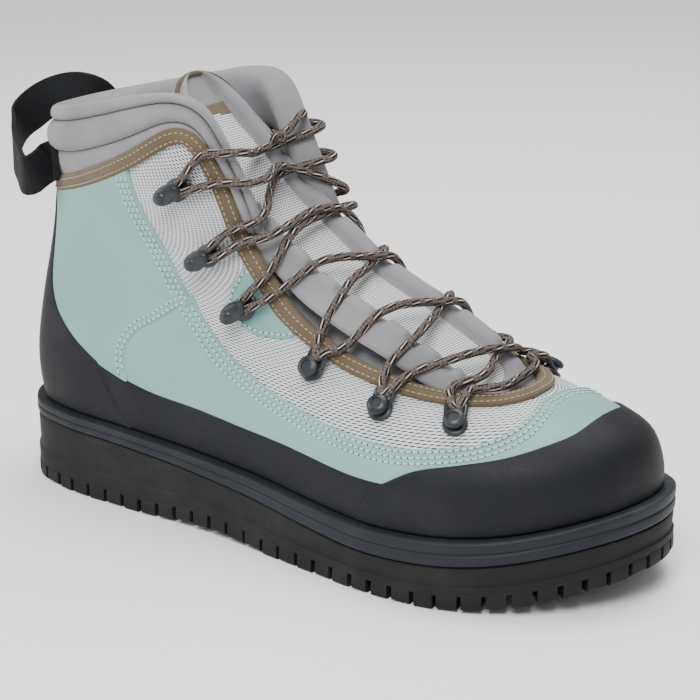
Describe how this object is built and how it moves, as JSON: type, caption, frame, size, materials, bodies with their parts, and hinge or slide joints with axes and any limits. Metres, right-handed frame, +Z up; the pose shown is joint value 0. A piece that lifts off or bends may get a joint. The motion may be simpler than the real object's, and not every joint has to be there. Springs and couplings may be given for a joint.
{
  "type": "wading boot",
  "caption": "Ankle-high lace-up wading boot for the right foot: lugged rubber sole, mesh upper with rubber rand, padded collar and tongue, hooks and round laces.",
  "frame": {"origin": "on the floor under the middle of the heel", "axes": "+X towards the toe, +Y towards the inner side of the foot, +Z up"},
  "size_m": [0.3409, 0.1258, 0.1915],
  "materials": {
    "black_rubber": "matt moulded rubber",
    "charcoal_foam": "satin moulded foam",
    "light_mesh": "open knitted mesh",
    "green_fabric": "coated fabric, fine grain",
    "grey_padding": "brushed lining over foam",
    "tan_tape": "woven binding tape",
    "black_webbing": "ribbed webbing",
    "slate_plastic": "satin moulded plastic",
    "taupe_cord": "braided round cord"
  },
  "bodies": {
    "root": {"outsole": "black_rubber", "midsole": "charcoal_foam", "insole": "grey_padding", "upper": "light_mesh", "heel_counter": "black_rubber", "toe_cap": "black_rubber", "rand_outer": "black_rubber", "rand_inner": "black_rubber", "vamp_panel": "green_fabric", "quarter_outer": "green_fabric", "quarter_inner": "green_fabric", "patch_outer": "green_fabric", "patch_inner": "green_fabric", "binding": "tan_tape", "collar": "grey_padding", "tongue": "grey_padding", "pull_loop": "black_webbing", "hook_outer_1": "slate_plastic", "hook_outer_2": "slate_plastic", "hook_outer_3": "slate_plastic", "hook_outer_4": "slate_plastic", "hook_outer_5": "slate_plastic", "hook_outer_6": "slate_plastic", "hook_inner_1": "slate_plastic", "hook_inner_2": "slate_plastic", "hook_inner_3": "slate_plastic", "hook_inner_4": "slate_plastic", "hook_inner_5": "slate_plastic", "hook_inner_6": "slate_plastic", "lace_bar": "taupe_cord", "lace_top": "taupe_cord", "lace_cross_1": "taupe_cord", "lace_cross_2": "taupe_cord", "lace_cross_3": "taupe_cord", "lace_cross_4": "taupe_cord", "lace_cross_5": "taupe_cord", "lace_end": "taupe_cord", "lace_knot": "taupe_cord"}
  },
  "joints": []
}
